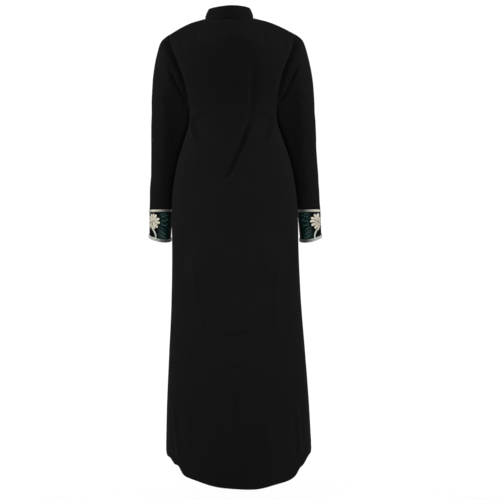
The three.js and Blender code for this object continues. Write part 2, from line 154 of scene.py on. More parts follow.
def quadCorners(rows, columns):
    # the rows and columns of every quad's four corners
    r, c = np.meshgrid(np.arange(rows), np.arange(columns), indexing="ij")
    return [(r, c), (r, c + 1), (r + 1, c + 1), (r + 1, c)]


def gridMesh(name, grid, cut, finish, closed, outward):
    # a quad mesh through a grid; cut is each point's place on the flat cloth and becomes its UV
    rows, columns = grid.shape[:2]
    corners = quadCorners(rows - 1, columns - (not closed))
    faces = np.stack([a * columns + b % columns for a, b in corners], -1).reshape(-1, 4)
    spots = np.stack([cut[a, b] for a, b in corners], 2).reshape(-1, 4, 2)
    points = grid.reshape(-1, 3)
    facesOut = np.cross(points[faces[:, 2]] - points[faces[:, 0]], points[faces[:, 3]] - points[faces[:, 1]])
    if np.sum(facesOut * outward.reshape(-1, 3)[faces[:, 0]]) < 0:
        faces, spots = faces[:, ::-1], spots[:, ::-1]
    return meshObject(name, points, faces, spots.reshape(-1, 2), finish)


def joinedMesh(name, side, parts, closed, finish):
    # one mesh of many small grids, each with its points, places on the flat cloth and shades
    points, faces, spots, shades, base = [], [], [], [], 0
    for grid, cut, shade in parts:
        rows, columns = grid.shape[:2]
        corners = quadCorners(rows - (not closed), columns - (not closed))
        quads = np.stack([a % rows * columns + b % columns for a, b in corners], -1).reshape(-1, 4)[:, ::side]
        faces.append(quads + base)
        spots.append(cut.reshape(-1, 2)[quads].reshape(-1, 2))
        points.append(grid.reshape(-1, 3))
        shades.append(shade.ravel())
        base += rows * columns
    joined = (np.concatenate(each) for each in (points, faces, spots))
    return meshObject(name, *joined, finish, np.concatenate(shades))


# the wearer's right side hangs this much lower above the hip; it fades in between these x and z
settling = dict(drop=3.5, fromX=110, fullX=200, fromZ=-900, fullZ=-650)


def settled(points):
    x, z = points[:, 0], points[:, 2]
    drop = settling["drop"] * smooth(settling["fromX"], settling["fullX"], -x)
    return points - np.column_stack([0 * x, 0 * x, drop * smooth(settling["fromZ"], settling["fullZ"], z)])


def meshObject(name, points, faces, spots, finish, shade=None):
    mesh = bpy.data.meshes.new(name)
    mesh.from_pydata((settled(points) * mm).tolist(), [], faces.tolist())
    mesh.uv_layers.new(name="cut").data.foreach_set("uv", np.ascontiguousarray(spots * mm).ravel())
    mesh.polygons.foreach_set("use_smooth", np.ones(len(faces), bool))
    if shade is not None:
        mesh.attributes.new("shade", "FLOAT", "POINT").data.foreach_set("value", np.array(shade, float))
    mesh.materials.append(finish)
    made = bpy.data.objects.new(name, mesh)
    bpy.context.scene.collection.objects.link(made)
    return made


def thicken(made, thickness):
    wall = made.modifiers.new("thickness", "SOLIDIFY")
    wall.thickness = thickness * mm
    wall.offset = -1
    return made


def placePiece(made, node=None):
    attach(made, "root")
    if node:
        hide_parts(node)
    return made


# finishes
class Wire:
    # one output of a finish's nodes; arithmetic on it adds Math nodes
    def __init__(self, finish, socket):
        self.finish, self.socket = finish, socket

    def math(self, operation, *values):
        inputs = dict(enumerate(values))
        return self.finish.node("ShaderNodeMath", dict(operation=operation), inputs)

    def __add__(self, other):
        return self.math("ADD", self, other)

    def __sub__(self, other):
        return self.math("SUBTRACT", self, other)

    def __mul__(self, other):
        return self.math("MULTIPLY", self, other)

    def __rsub__(self, other):
        return self.math("SUBTRACT", other, self)

    __radd__ = __add__
    __rmul__ = __mul__


class Finish:
    def __init__(self, name, **values):
        self.material = bpy.data.materials.new(name)
        self.material.use_nodes = True
        self.nodes = self.material.node_tree.nodes
        self.shader = self.nodes["Principled BSDF"]
        for socket, value in values.items():
            self.shader.inputs[socket.replace("_", " ")].default_value = value

    def node(self, kind, settings=None, inputs=None, output=0):
        made = self.nodes.new(kind)
        for key, value in (settings or {}).items():
            setattr(made, key, value)
        for key, value in (inputs or {}).items():
            self.feed(made.inputs[key], value)
        return Wire(self, made.outputs[output])

    def feed(self, socket, value):
        if isinstance(value, Wire):
            self.material.node_tree.links.new(value.socket, socket)
        else:
            socket.default_value = value

    def mix(self, factor, first, second):
        # inputs 6 and 7 are the two colours of a colour Mix
        settings = dict(data_type="RGBA")
        return self.node("ShaderNodeMix", settings, {0: factor, 6: first, 7: second}, 2)

    def climb(self, value, low, high):
        # rises smoothly from 0 to 1 between two values
        settings = dict(interpolation_type="SMOOTHSTEP")
        return self.node("ShaderNodeMapRange", settings, {0: value, 1: low, 2: high})

    def noise(self, place, scale, detail=2.0):
        return self.node("ShaderNodeTexNoise", None, dict(Vector=place, Scale=scale, Detail=detail))

    def wave(self, direction, place, scale, distortion, detail=2.0):
        inputs = dict(Vector=place, Scale=scale, Distortion=distortion, Detail=detail)
        return self.node("ShaderNodeTexWave", dict(bands_direction=direction), inputs)

    def place(self, stretch=(1, 1, 1), turn=0.0):
        # the place on the cut cloth in metres, stretched and turned
        cut = self.node("ShaderNodeUVMap", dict(uv_map="cut"))
        inputs = dict(Vector=cut, Scale=stretch, Rotation=(0, 0, turn))
        return self.node("ShaderNodeMapping", None, inputs)

    def bump(self, height, distance, strength):
        inputs = dict(Height=height, Distance=distance, Strength=strength)
        self.feed(self.shader.inputs["Normal"], self.node("ShaderNodeBump", None, inputs))


waveTurn = 6.28  # a wave node of scale 1 repeats this often in a metre

crepe = dict(
    dark=(0.004284, 0.0042, 0.004284, 1),
    light=(0.005916, 0.0058, 0.005916, 1),
    roughness=0.85,
    roughnessSpread=0.16,
    mottle=7.0,  # broad lighter and darker places per metre
    twist=1100.0,  # pebbles of the crepe twist per metre
    twistStretch=(1, 0.62, 1),
    weave=2400.0,  # threads per metre
    relief=0.00012,
)


def blackCrepe():
    finish = Finish("blackCrepe", Specular_IOR_Level=0.04, Sheen_Weight=0.012, Sheen_Roughness=0.6,
                    Sheen_Tint=(0.9, 0.9, 0.95, 1))
    flat = finish.place()
    broad = finish.noise(flat, crepe["mottle"], 3.0)
    pebble = finish.noise(finish.place(crepe["twistStretch"]), crepe["twist"])
    weft = finish.wave("Y", flat, crepe["weave"] / waveTurn, 2.5, 1.0)
    tone = broad * 0.85 + pebble * 0.15
    spread = crepe["roughnessSpread"]
    finish.feed(finish.shader.inputs["Base Color"], finish.mix(tone, crepe["dark"], crepe["light"]))
    finish.feed(finish.shader.inputs["Roughness"], crepe["roughness"] - spread / 2 + pebble * spread)
    finish.bump(pebble * 0.8 + weft * 0.2, crepe["relief"], 0.35)
    return finish.material


band = dict(
    ground=(0.0014, 0.0016, 0.0012, 1),
    teal=(0.0015, 0.013, 0.012, 1),
    tealFrom=52.0,  # where the dyed ground starts, round from the outer edge, and where painted shade has turned it back to the black ground towards the inner side
    innerShadeTo=104.0,
    blend=14.0,
    strokeStretch=(60, 420, 1),  # brushed strokes of dye per metre along and across
    strokeTurn=0.55,
    roughness=0.56,
    roughnessSpread=0.16,
    weave=320.0,
    relief=0.0002,
)


def bandCloth():
    finish = Finish("bandCloth", Specular_IOR_Level=0.05, Sheen_Weight=0.01, Sheen_Roughness=0.4)
    flat = finish.place()
    across = finish.node("ShaderNodeSeparateXYZ", None, dict(Vector=flat))
    around = finish.node("ShaderNodeMath", dict(operation="ABSOLUTE"), {0: across})
    back = finish.climb(around, band["tealFrom"] * mm, (band["tealFrom"] + band["blend"]) * mm)
    # painted shade: the teal darkens to the black ground towards the inner side, which turns towards the body
    innerShade = finish.climb(around, (band["innerShadeTo"] - band["blend"]) * mm, band["innerShadeTo"] * mm)
    strokes = finish.noise(finish.place(band["strokeStretch"], band["strokeTurn"]), 1.0, 3.0)
    weave = finish.wave("DIAGONAL", flat, band["weave"], 1.2)
    dyeAndShade = back * (1 - innerShade) * (0.25 + strokes * 1.1)
    finish.feed(finish.shader.inputs["Base Color"], finish.mix(dyeAndShade, band["ground"], band["teal"]))
    finish.feed(finish.shader.inputs["Roughness"], band["roughness"] + strokes * band["roughnessSpread"])
    finish.bump(weave * 0.5 + strokes * 0.5, band["relief"], 0.5)
    return finish.material


threads = dict(
    # deep and bright colour, stitches or plies per metre, roughness and sheen
    # the cream thread's deep colour, at the petals' feet, is partly a darker thread and partly painted shade
    creamThread=((0.20, 0.16, 0.10, 1), (0.92, 0.88, 0.74, 1), 1900.0, 0.48, 0.15),
    sageThread=((0.20, 0.26, 0.21, 1), (0.58, 0.65, 0.57, 1), 1900.0, 0.48, 0.12),
    tealThread=((0.002, 0.014, 0.014, 1), (0.045, 0.105, 0.105, 1), 1900.0, 0.42, 0.02),
    # the cords' deep colours are the painted shade they turn to towards the inner side
    creamCord=((0.020, 0.019, 0.016, 1), (0.86, 0.81, 0.70, 1), 1400.0, 0.45, 0.12),
    sageCord=((0.006, 0.014, 0.013, 1), (0.54, 0.58, 0.52, 1), 1400.0, 0.45, 0.12),
)
threadRelief = 0.00025
threadWear = 260.0  # worn spots per metre


def threadFinish(name, deep, bright, pitch, roughness, sheen):
    # satin stitches or twisted plies lie across the shape's length; shade runs from deep to bright, and on
    # the cords and the petals' feet it carries painted shade
    finish = Finish(name, Specular_IOR_Level=0.35, Sheen_Weight=sheen, Sheen_Roughness=0.35)
    shade = finish.node("ShaderNodeAttribute", dict(attribute_name="shade"), None, 2)
    stitch = finish.wave("X", finish.place(), pitch / waveTurn, 1.5, 1.0)
    worn = finish.noise(finish.place(), threadWear)
    tone = shade * 0.7 + stitch * 0.16 + worn * 0.22
    finish.feed(finish.shader.inputs["Base Color"], finish.mix(tone, deep, bright))
    finish.feed(finish.shader.inputs["Roughness"], roughness - 0.08 + stitch * 0.16)
    finish.bump(stitch, threadRelief, 0.7)
    return finish.material


black = blackCrepe()
cuffCloth = bandCloth()
sewn = {name: threadFinish(name, *row) for name, row in threads.items()}
print("finishes made")

# sections of the body
body = dict(
    # side seam's z, half width and y, then the back's depth and drop and the front's
    skirt=[
        (-1287, 218, 0, 172, 90, 165, 14),
        (-1150, 213, 0, 167, 76, 159, 10),
        (-1000, 204, 1, 158, 58, 151, 6),
        (-850, 194.5, 3, 147, 40, 142, 3),
        (-700, 189.5, 6, 136, 24, 133, 0),
        (-600, 189, 9, 128, 14, 129, 0),
        (-513, 184.5, 12, 117, 8, 127, 0),
        (-430, 169, 15, 103, 5, 126, 0),
        (-360, 147, 17, 93, 4, 127, 0),
        (-312, 132, 17, 89, 4, 130, 0),
        (-274, 131, 16, 88, 5, 132, 4),
    ],
    # the armhole edge's x, y, z, then the middle's y and z, the row's spread in degrees and hollow
    backYoke=[
        (131, 16, -274, 88, -279, 90, 0),
        (132, 33, -262, 88.5, -264, 77, 0),
        (140, 48, -225, 90, -230, 63, 1),
        (154, 53, -176, 92, -184, 58, 3),
        (169, 45, -131, 91, -142, 57, 8),
        (181, 28, -89, 88, -101, 57, 15),
        (190, 0, -44, 82, -62, 57, 24),
    ],
    frontYoke=[
        (131, 16, -274, -132, -278, 90, 0),
        (131, -15, -264, -131.5, -266, 78, 0),
        (137, -50, -228, -127, -236, 65, 0),
        (149, -61, -178, -118, -197, 57, 1),
        (164, -55, -130, -105, -161, 56, 4),
        (178, -35, -88, -92, -130, 56, 9),
        (190, 0, -44, -82, -103, 56, 16),
    ],
    # on from there along the shoulder seam, the same columns
    backShoulder=[
        (150, 0, -23, 76, -42, 56, 24),
        (111, 0, -7, 68, -25, 66, 14),
        (73, 0, 2.5, 58, -10, 90, 0),
    ],
    frontShoulder=[
        (150, 0, -23, -75, -89, 55, 14),
        (111, 0, -7, -68, -76, 66, 8),
        (73, 0, 2.5, -60, -62, 90, 0),
    ],
    # where the back's hem rides up or dips: place from side to side, spread and lift
    hemWaves=[(0.75, 0.12, 20), (0.605, 0.05, 14), (0.38, 0.14, 4), (-0.18, 0.16, -6),
              (-0.5, 0.16, -10), (-0.62, 0.045, 8), (-0.78, 0.12, 15)],
    hemReach=180,  # these waves die away over this height
    hemStitch=(28, 0.5, 2.4),  # the hem's stitching: height, how far it stands out and how wide
    hemEdge=(0.8, 1.2),  # the hem's rolled edge: depth and height
    ripples=[(0.5, 46), (0.8, 130)],  # soft unevenness of the cloth: height and size
    calm=(26, 14),  # no creases or ripples this close to a seam and to the neck
    neckSway=7,  # the neck sits this much towards the wearer's left
    swayFrom=-47,
    rows=(190, 70, 34),  # of quads up the skirt, the yoke and the shoulder
    columns=120,  # across the back; a front has just over half
    backSeamColumns=(0.12, 0.3, 0.55),  # extra ones beside a sewn edge, so that the seam can dip
    frontSeamColumns=(0.002, 0.005, 0.009, 0.985, 0.994, 0.998),
    wall=0.9,
    seamGap=0.12,  # left open beside a panel whose half width is about this
    halfWidth=260,
    lap=14,
    lapTuck=2.6,  # the under front lies this much deeper
    tuckFrom=46,  # between these distances from the middle
    tuckTo=18,
)


def panelSections(facing):
    skirt = np.array(body["skirt"], float)
    depth, drop = (skirt[:, 3], skirt[:, 4]) if facing > 0 else (-skirt[:, 5], skirt[:, 6])
    side = skirt[:, [1, 2, 0]]
    down = np.column_stack([depth, skirt[:, 0] - drop, 90 + 0 * depth, 0 * depth])
    yoke = np.array(body["backYoke" if facing > 0 else "frontYoke"], float)
    shoulder = np.vstack([yoke[-1:], body["backShoulder" if facing > 0 else "frontShoulder"]])
    edges = [side, yoke[:, :3], shoulder[:, :3]]
    return edges, np.concatenate([down, yoke[1:, 3:], shoulder[1:, 3:]])


def panelRows(facing):
    # every row of a panel from hem to neck: edge x, y, z, middle y, z, spread and hollow
    edges, middle = panelSections(facing)
    made, start, total = [], 0, len(middle) - 1
    for edge, count in zip(edges, body["rows"]):
        span = len(edge) - 1
        fine = np.linspace(0, 1, 500)
        heights = throughRows(middle, (start + fine * span) / total)[:, :2]
        walk = lengthsAlong(throughRows(edge, fine), 0) + lengthsAlong(heights, 0)
        place = np.interp(np.linspace(0, 1, count + 1), walk / walk[-1], fine)
        rows = np.hstack([throughRows(edge, place), throughRows(middle, (start + place * span) / total)])
        made.append(rows if start == 0 else rows[1:])
        start += span
    return np.concatenate(made)


def rowPoints(rows, places, facing):
    # places run from -1 at one edge through 0 at the middle to 1; a row of them, or one per row
    x, y, z, midY, midZ, spread, hollow = (rows[:, [k]] for k in range(7))
    spread = np.radians(np.minimum(spread, 90))
    toMiddle = (np.cos(places * spread) - np.cos(spread)) / (1 - np.cos(spread))
    across = x * np.sin(places * spread) / np.sin(spread)
    deep = y + (midY - y) * toMiddle
    high = z + (midZ - z) * toMiddle - hollow * np.sin(np.pi * np.abs(places))
    if facing > 0:
        lift = sum(lift * np.exp(-((places - place) / wide) ** 2) for place, wide, lift in body["hemWaves"])
        high = high + lift * (1 - places ** 8) * (1 - smooth(0, body["hemReach"], z - body["skirt"][0][0]))
    across = across + body["neckSway"] * smooth(body["swayFrom"], 0, high)
    return np.stack([across, deep, high], -1)


# creases of the back: width, depth and path
backCreases = [
    # the long fold that falls from the shoulder blade and swings over the waist
    fold(9, 4.4, (-58, -104), (-60, -195), (-55, -270), (-44, -345), ridge=0.05),
    fold(7, 13.5, (-50, -300), (-43, -330), (-28, -374), (-9, -418), (12, -462), (28, -482), (50, -494),
         ridge=0.06, fadeOut=0.45),
    fold(8, 1.8, (24, -504), (22, -535), (21, -575)),
    # drag lines in from the waist at the sides
    fold(12, 8.5, (122, -292), (106, -338), (84, -392),
         ridge=0.3, lean=-1, broad=3, fadeIn=0.2, fadeOut=0.6),
    fold(12, 7.5, (-78, -398), (-98, -344), (-121, -290),
         ridge=0.3, lean=-1, broad=3, fadeIn=0.6, fadeOut=0.2),
    # ease below the shoulder seams
    fold(9, 1.8, (96, -36), (103, -62), (114, -100), fadeIn=0.5, fadeOut=0.5),
    fold(9, 1.8, (151, -56), (147, -80), (140, -116), fadeIn=0.5, fadeOut=0.5),
    fold(9, 2.0, (-102, -36), (-96, -64), (-86, -104), fadeIn=0.5, fadeOut=0.5),
    fold(9, 1.6, (-161, -60), (-157, -82), (-150, -114), fadeIn=0.5, fadeOut=0.5),
    fold(8, 1.2, (-20, -26), (-18, -50), (-15, -80), fadeIn=0.5, fadeOut=0.5),
    # the seat: two soft bulges with a fold hanging from each
    fold(40, -12, (98, -700), (102, -745), ridge=0.05, fadeIn=0, fadeOut=0),
    fold(40, -11.5, (-92, -700), (-96, -745), ridge=0.05, fadeIn=0, fadeOut=0),
    fold(7, 2.6, (109, -724), (104, -790), (96, -862), (89, -926), (88, -990),
         lean=-0.6, broad=3, fadeIn=0.1, fadeOut=0.4),
    fold(9, 2.6, (109, -716), (108, -742)),
    fold(7, 2.6, (-101, -1060), (-102, -960), (-105, -870), (-108, -790), (-113, -722),
         lean=-0.6, broad=3, fadeIn=0.4, fadeOut=0.1),
    fold(9, 2.8, (-114, -714), (-113, -740)),
    fold(5, 3.6, (82, -930), (30, -938), (-20, -934), (-60, -926)),
    fold(5, 2.8, (36, -1022), (4, -1028), (-20, -1026)),
    # long folds to the hem
    fold(13, 6.5, (5, -1060), (4, -1130), (2, -1215), (0, -1310), fadeIn=0.4, fadeOut=0.5),
    fold(9, -3.4, (192, -1120), (187, -1200), (174, -1300), ridge=0.5, fadeIn=0.5, fadeOut=0.1),
    fold(9, -3.4, (-170, -1120), (-176, -1200), (-183, -1300), ridge=0.5, fadeIn=0.5, fadeOut=0.1),
    fold(22, 2.2, (98, -1040), (108, -1160), (112, -1290), fadeIn=0.5, fadeOut=0.2),
    fold(9, -2.2, (-84, -1150), (-86, -1210), (-86, -1300), fadeIn=0.5, fadeOut=0.4),
    fold(22, 2.0, (-114, -1060), (-118, -1200), (-120, -1330), fadeIn=0.5, fadeOut=0.1),
]
# the fronts, where the cloth hangs from the bust
frontCreases = [
    fold(7, 1.6, (92, -70), (88, -96), (82, -124)),
    fold(7, 1.7, (-96, -74), (-90, -98), (-86, -118)),
    fold(12, 2.6, (126, -236), (104, -258), (76, -274)),
    fold(12, 2.8, (-125, -240), (-98, -268), (-66, -280)),
    fold(20, 3.6, (70, -320), (86, -480), (96, -700), (104, -940), fadeOut=0.6),
    fold(19, 3.8, (-72, -330), (-82, -500), (-98, -760), (-102, -1010), fadeOut=0.6),
    fold(15, 1.6, (34, -420), (44, -640), (50, -860)),
    fold(15, 1.5, (-40, -470), (-46, -660), (-55, -820)),
    fold(24, 3.6, (62, -900), (66, -1080), (72, -1320), fadeOut=0.1),
    fold(25, 3.2, (-58, -860), (-68, -1090), (-70, -1320), fadeOut=0.1),
    fold(17, 4.4, (150, -820), (158, -1050), (166, -1310), fadeOut=0.1),
    fold(17, 4.2, (-148, -880), (-160, -1080), (-168, -1310), fadeOut=0.1),
    fold(18, -2.6, (118, -980), (124, -1120), (130, -1310), fadeOut=0.1),
    fold(18, -2.4, (-112, -940), (-118, -1100), (-122, -1310), fadeOut=0.1),
]


# Each seam is drawn into the garment, by the same step on both pieces that meet there.
seams = dict(
    sink=0.8,
    spread=3.0,
    armholeMiddle=(138, 4, -165),
    neckMiddle=(4, -2, -50),
    creaseSink=15,  # the armhole seam lies in a deep crease near the armpit
    panelSpread=15,  # how far the crease reaches over the panel and over the sleeve
    sleeveSpread=6,
    creaseFrom=-62,  # heights between which the crease deepens, where it ends and over how much it fades
    creaseFull=-170,
    creaseEnd=-276,
    creaseFade=34,
    cornerBlend=24,  # over this length one seam's pull gives way to the next one's
    allowance=((0.5, 1.2), (5.0, 1.7)),  # the cloth turned under at a seam: how far past it and how deep
    turnRows=6,  # rows over which the turned cloth changes sides
    shoulderTurn=0.85,  # at the shoulder it goes this much deeper for each mm of its width
)


def towards(points, target, side=1):
    # unit steps towards a target, which is mirrored where side is -1
    return unit(np.array(target) * np.where(np.asarray(side) < 0, (-1, 1, 1), (1, 1, 1)) - points)


def armholePull(points, edgeHeight, distance, side, spread):
    deep = smooth(-seams["creaseFrom"], -seams["creaseFull"], -edgeHeight)
    deep = deep * smooth(seams["creaseEnd"], seams["creaseEnd"] + seams["creaseFade"], edgeHeight)
    narrow = seams["sink"] * np.exp(-(distance / seams["spread"]) ** 2)
    wide = seams["creaseSink"] * deep * np.exp(-(distance / spread) ** 2)
    return towards(points, seams["armholeMiddle"], side) * (narrow + wide)[..., None]


def straightPull(direction, distance):
    return np.array(direction) * (seams["sink"] * np.exp(-(distance / seams["spread"]) ** 2))[..., None]


def panelPull(grid, rows, fromEdge, rise):
    # the pull of a panel's sewn edges: side seam, armhole, shoulder and neck
    side = np.where(grid[..., [0]] < 0, -1, 1)
    skirtEnd, yokeEnd = body["rows"][0], body["rows"][0] + body["rows"][1]
    along = np.concatenate([[0], np.cumsum(np.linalg.norm(np.diff(rows[:, :3], axis=0), axis=1))])
    below = smooth(along[skirtEnd] - seams["cornerBlend"], along[skirtEnd], along)
    above = smooth(along[yokeEnd], along[yokeEnd] + seams["cornerBlend"], along)
    neck = smooth(0, seams["cornerBlend"], along[-1] - along)
    arm = (below * (1 - above))[:, None, None]
    edgeHeight = np.clip(rows[:, [2]], seams["creaseEnd"] + 2, None) + 0 * fromEdge
    pull = arm * armholePull(grid, edgeHeight, fromEdge, side, seams["panelSpread"])
    pull += (1 - below)[:, None, None] * straightPull((-1, 0, 0), fromEdge) * side
    pull += (above * neck)[:, None, None] * straightPull((0, 0, -1), fromEdge)
    fromNeck = rise[-1] - rise
    dip = seams["sink"] * np.exp(-(fromNeck / seams["spread"]) ** 2)
    return pull + towards(grid, seams["neckMiddle"]) * dip[..., None]


def turnedUnder(grid, normals, facing, end):
    # the back's seam allowance lies under the front; a front's lies back, but inside the sleeve
    row = np.arange(len(grid))
    skirtEnd, yokeEnd = body["rows"][0], body["rows"][0] + body["rows"][1]
    soft = seams["turnRows"]
    arm = smooth(skirtEnd - soft, skirtEnd + soft, row) * (1 - smooth(yokeEnd - soft, yokeEnd + soft, row))
    turn = np.ones(len(grid)) if facing > 0 else 2 * arm - 1
    step = unit(grid[:, end] - grid[:, 1 if end == 0 else -2]) * turn[:, None]
    steeper = seams["shoulderTurn"] * smooth(yokeEnd - 3 * soft, yokeEnd, row)[:, None] * (facing > 0)
    return np.stack([grid[:, end] + step * reach - normals[:, end] * (drop + steeper * reach)
                     for reach, drop in seams["allowance"]], 1)


def panel(name, node, facing, places, creases, seed, tucked=False):
    rows = panelRows(facing)
    grid = rowPoints(rows, places, facing)
    outward = np.stack([grid[..., 0] * 0.4, facing * np.abs(grid[..., 1]) + facing, 0 * grid[..., 2]], -1)
    normals = gridNormals(grid, False, outward)
    run = lengthsAlong(grid, 1)
    rise = lengthsAlong(grid, 0)
    middle = np.argmin(np.abs(grid[..., 0]), 1)
    run = run - run[np.arange(len(run)), middle][:, None]
    height = creaseHeight(grid, normals, creases, facing)
    for k, (tall, size) in enumerate(body["ripples"]):
        height += tall * softNoise(run + 900, rise, size, seed + k)
    fromEdge = (1 - np.abs(places)) * np.abs(grid[:, [0], 0] - grid[:, [-1], 0]) * 0.6
    height *= smooth(0, body["calm"][0], fromEdge) * smooth(0, body["calm"][1], rise[-1] - rise)
    stitchAt, stitchTall, stitchWide = body["hemStitch"]
    rollDeep, rollHigh = body["hemEdge"]
    height += stitchTall * np.exp(-((rise - stitchAt) / stitchWide) ** 2)
    height -= rollDeep * np.exp(-(rise / rollHigh) ** 2)
    if tucked:
        height -= body["lapTuck"] * smooth(-body["tuckFrom"], -body["tuckTo"], -grid[..., 0])
    grid = grid + normals * height[..., None] + panelPull(grid, rows, fromEdge, rise)
    reach = np.array([step[0] for step in seams["allowance"]])
    last = facing > 0  # a front's other edge isn't sewn
    grid = np.concatenate([turnedUnder(grid, normals, facing, 0)[:, ::-1], grid]
                          + [turnedUnder(grid, normals, facing, -1)] * last, 1)
    way = np.sign(run[:, [1]] - run[:, [0]])
    run = np.concatenate([run[:, [0]] - way * reach[::-1], run] + [run[:, [-1]] + way * reach] * last, 1)
    rise, outward = (np.concatenate([values[:, :1]] * 2 + [values] + [values[:, -1:]] * 2 * last, 1)
                     for values in (rise, outward))
    made = gridMesh(name, grid, np.stack([run, rise], -1), black, False, outward)
    return thicken(placePiece(made, node), body["wall"])


def panelEdge():
    return 1 - body["seamGap"] / body["halfWidth"]


def makeBack():
    edge, columns = panelEdge(), body["columns"]
    extra = np.array(body["backSeamColumns"]) * 2 * edge / columns
    places = np.unique(np.concatenate([np.linspace(-edge, edge, columns + 1), extra - edge, edge - extra]))
    return panel("backPanel", "back", 1, places, backCreases, 11)


def makeFront(side, name, node):
    # side 1 is the wearer's left, which lies under, and -1 the right, which laps over it
    rows = panelRows(-1)
    spread = np.radians(np.minimum(rows[:, 5], 90))
    past = np.arcsin(body["lap"] * np.sin(spread) / rows[:, 0]) / spread
    columns = np.linspace(0, 1, body["columns"] * 9 // 16 + 1)
    columns = np.unique(np.concatenate([columns, body["frontSeamColumns"]]))
    places = side * (panelEdge() - columns * (panelEdge() + past[:, None]))
    return panel(name, node, -1, places, frontCreases, 31 + side, side > 0)


back = makeBack()
frontLeft = makeFront(1, "leftFront", "front_left")
frontRight = makeFront(-1, "rightFront", "front_right")
print("body cloth made")

# sleeves
sleeve = dict(
    # each section's outermost x, z, innermost x, z, middle y and half depth, then its share of the
    # back's fall towards the body and how much lower it hangs on the right
    sections=[
        (212, -62, 129.9, -280, -3, 53, 0, 0),
        (227, -104, 129.0, -289, -9, 56, 0.1, 0),
        (240, -170, 128.4, -305, -16, 55, 0.4, 0),
        (246, -238, 131, -330, -30, 54, 0.8, 0.5),
        (249, -310, 139, -364, -42, 51, 1, 1),
        (251, -380, 152, -406, -50, 49, 1, 2),
        (254, -450, 165, -458, -56, 47, 1, 3),
        (258, -510, 183, -510, -60, 45, 0.9, 3.6),
        (259, -540, 185, -540, -61, 44.5, 0.6, 3.9),
        (260.5, -567, 190, -567, -61, 44, 0, 4),
    ],
    fallAway=0.42,  # the back falls towards the body by this much
    fallFrom=40,  # between these distances in from the outer edge
    fallFull=80,
    ripple=(0.45, 38),
    rippleRound=60,
    calm=(16, 22),  # no creases this close to the armhole and to the cuff
    cuffDip=(0.5, 2),  # the seam above the cuff: depth and width
    around=132,
    rings=150,
)
# the back of the left sleeve, 1, and of the right one, -1
sleeveBackCreases = {
    1: [
        fold(4.6, 10, (190, -144), (172, -190), (157, -220), (140, -258), ridge=0.06, fadeOut=0.1),
        fold(13, 5.0, (214, -236), (190, -254), (158, -276), ridge=0),
        fold(12, 2.2, (240, -392), (214, -420), (186, -436)),
        fold(12, 1.6, (244, -452), (222, -470), (200, -478)),
        fold(12, 1.6, (236, -196), (222, -214), (205, -226)),
    ],
    -1: [
        fold(4.6, 10, (-200, -136), (-182, -178), (-167, -210), (-144, -257), ridge=0.06, fadeOut=0.1),
        fold(13, 5.0, (-212, -226), (-188, -246), (-158, -272), ridge=0),
        fold(12, 2.0, (-242, -372), (-218, -398), (-190, -412)),
        fold(12, 1.7, (-246, -466), (-224, -480), (-202, -492)),
        fold(12, 1.5, (-238, -182), (-226, -202), (-210, -216)),
    ],
}
# the left sleeve's front; on the right a fold's points hang this much lower
sleeveFrontCreases = [
    fold(8, 4.6, (198, -118), (172, -172), (150, -228), fadeOut=0.1),
    fold(12, 3.6, (226, -262), (190, -288), (152, -300), fadeOut=0.2, lower=(14, 0, 0)),
    fold(11, 3.4, (232, -372), (200, -404), (168, -414), lower=(14, 0, 0)),
    fold(10, 2.6, (238, -430), (206, -446), (178, -450), lower=(0, 14, 0)),
    fold(10, 1.6, (244, -500), (222, -512), (200, -514), lower=(14, 0, 0)),
]


def mirrored(crease):
    return dict(crease, path=[(-x, z - drop) for (x, z), drop in zip(crease["path"], crease["lower"])])


def armholeRing(side):
    # from the shoulder tip down the back, under the arm and up the front
    half = sleeve["around"] // 2
    steps = np.linspace(0, 1, half + 1)
    backEdge = throughRows(np.array(body["backYoke"])[:, :3], 1 - steps)
    frontEdge = throughRows(np.array(body["frontYoke"])[:, :3], steps)
    return np.concatenate([backEdge, frontEdge[1:-1]]) * (side, 1, 1)


def turns(count):
    return np.arange(count) / count * 2 * math.pi


def sectionRing(section, side, count, backDrop=0.0, fall=0.0):
    outerX, outerZ, innerX, innerZ, midY, halfDepth = section
    turn = turns(count)
    out = (1 + np.cos(turn)) / 2
    x = innerX + (outerX - innerX) * out
    z = innerZ + (outerZ - innerZ) * out - backDrop * np.sin(turn)
    away = fall * (np.sin(turn) > 0) * smooth(sleeve["fallFrom"], sleeve["fallFull"], outerX - x)
    return np.column_stack([side * x, midY + halfDepth * np.sin(turn) * (1 - away), z])


def evenRings(keys, count):
    # rings at even distances through the given ones
    fine = throughRows(keys, np.linspace(0, 1, 400))
    walk = np.mean(lengthsAlong(fine, 0), 1)
    return throughRows(keys, np.interp(np.linspace(0, 1, count + 1), walk / walk[-1], np.linspace(0, 1, 400)))


def ringCut(grid):
    # the place of each point on the cut cloth, with the first column repeated at the end
    wrapped = np.concatenate([grid, grid[:, :1]], 1)
    return np.stack([lengthsAlong(wrapped, 1), lengthsAlong(wrapped, 0)], -1)


